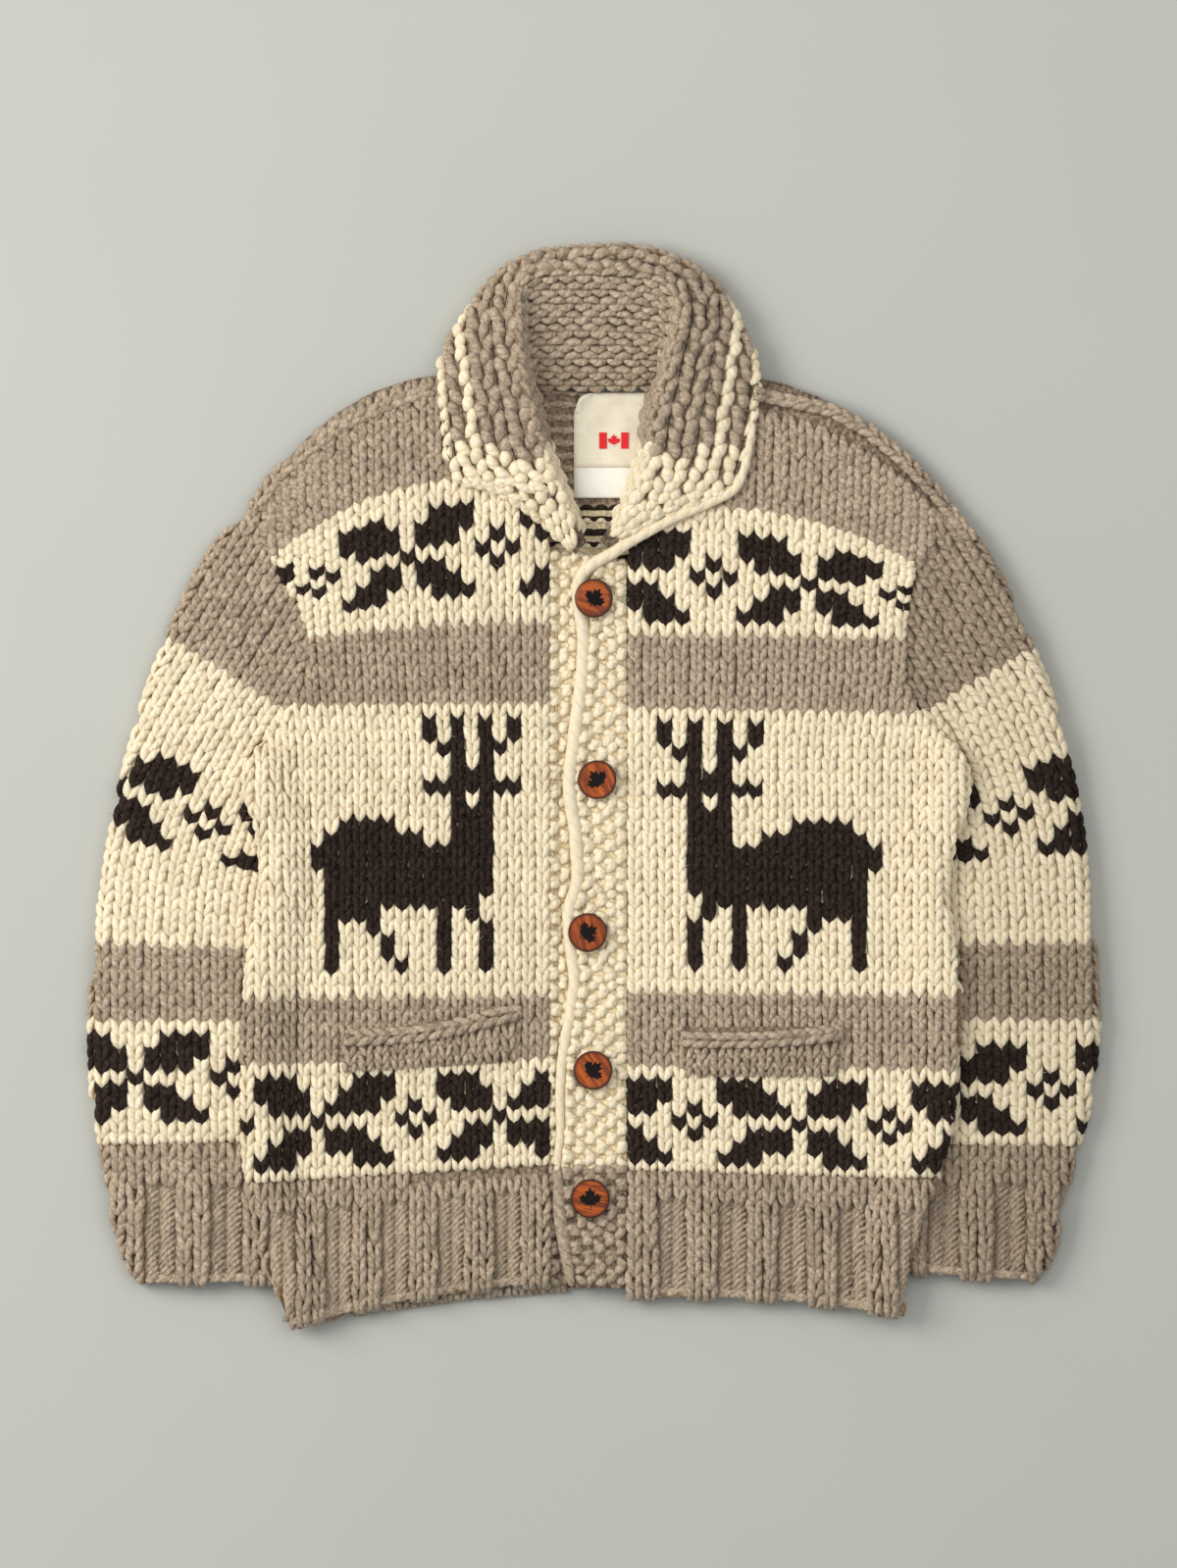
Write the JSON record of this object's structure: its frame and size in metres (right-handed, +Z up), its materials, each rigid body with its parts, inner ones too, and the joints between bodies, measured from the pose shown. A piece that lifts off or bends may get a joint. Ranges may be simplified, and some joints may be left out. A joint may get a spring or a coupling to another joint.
{
  "type": "knitted cardigan",
  "caption": "Heavy hand-knitted shawl-collar cardigan laid flat on its back, buttoned, with ribbed hem and cuffs, pocket lips, wooden buttons and a neck label.",
  "frame": {"origin": "middle of the back panel's underside, on the surface the cardigan lies on", "axes": "+X to the wearer's left, +Y from the hem to the collar, +Z up from the surface"},
  "size_m": [0.7395, 0.7932, 0.043],
  "materials": {
    "cream_wool": "woolly, matt",
    "grey_wool": "woolly, matt, heathered",
    "button_wood": "oiled, satin",
    "label_cloth": "woven satin"
  },
  "bodies": {
    "root": {"back": "cream_wool", "front_right": "cream_wool", "front_left": "cream_wool", "sleeve_right": "cream_wool", "sleeve_left": "cream_wool", "band_right": "cream_wool", "band_left": "cream_wool", "hem_back": "grey_wool", "hem_right": "grey_wool", "hem_left": "grey_wool", "cuff_right": "grey_wool", "cuff_left": "grey_wool", "collar": "grey_wool", "pocket_right": "grey_wool", "pocket_left": "grey_wool", "button_1": "button_wood", "button_2": "button_wood", "button_3": "button_wood", "button_4": "button_wood", "button_5": "button_wood", "label": "label_cloth"}
  },
  "joints": []
}
